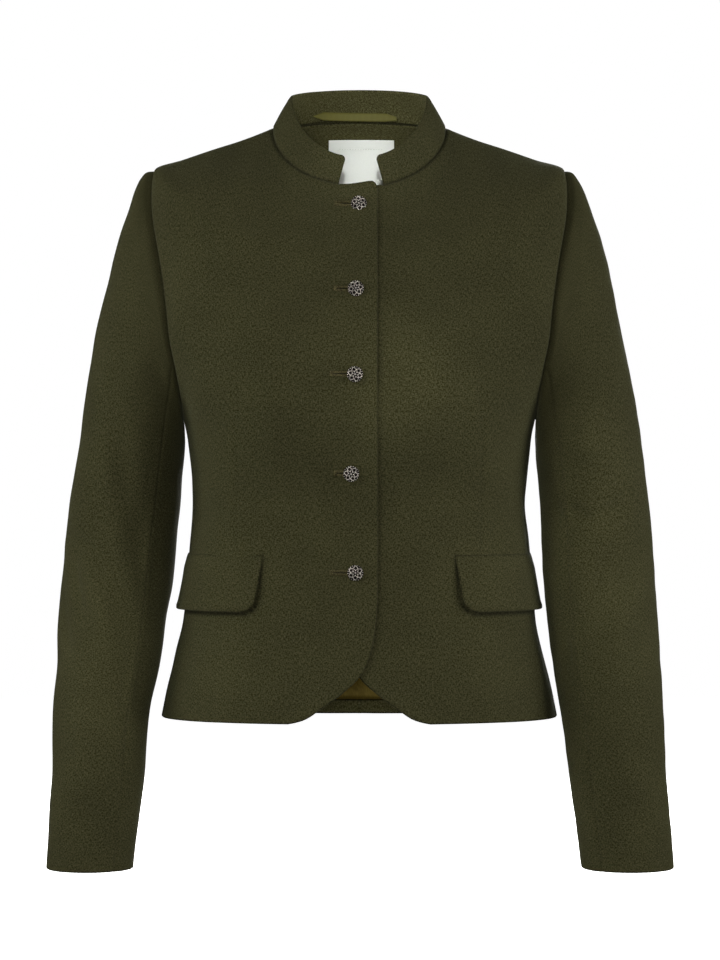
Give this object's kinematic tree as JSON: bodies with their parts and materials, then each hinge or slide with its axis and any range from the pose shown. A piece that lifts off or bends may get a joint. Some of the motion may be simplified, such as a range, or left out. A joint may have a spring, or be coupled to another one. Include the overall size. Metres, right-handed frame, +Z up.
{
  "type": "tyrolean loden jacket",
  "caption": "Short fitted loden jacket with a stand collar, buttoned front, pocket flaps and rounded cutaway front hem, in its hollow worn form.",
  "frame": {"origin": "middle of the neck's base, level with the two side neck points, where the wearer's neck and shoulders hold the jacket up", "axes": "+Z up the body towards the collar, +X towards the wearer's left sleeve, the front faces -Y"},
  "size_m": [0.5532, 0.251, 0.6993],
  "materials": {
    "loden": "fulled olive-green wool melange with a short soft nap",
    "satin": "olive satin ribbon",
    "lining": "old-gold satin lining",
    "label": "pale woven tape, bare",
    "silver": "antiqued silver-coloured cast metal"
  },
  "bodies": {
    "root": {"front_right": "loden", "front_left": "loden", "back_right": "loden", "back_left": "loden", "sleeve_right_top_head": "loden", "sleeve_right_top_upper": "loden", "sleeve_right_top_elbow": "loden", "sleeve_right_top_fore": "loden", "sleeve_right_under": "loden", "sleeve_left_top_head": "loden", "sleeve_left_top_upper": "loden", "sleeve_left_top_elbow": "loden", "sleeve_left_top_fore": "loden", "sleeve_left_under": "loden", "collar": "loden", "flap_right": "loden", "flap_left": "loden", "back_facing": "loden", "back_lining": "lining", "hanger_loop": "satin", "label": "label", "size_tag": "label", "button_1": "silver", "button_2": "silver", "button_3": "silver", "button_4": "silver", "button_5": "silver"}
  },
  "joints": []
}
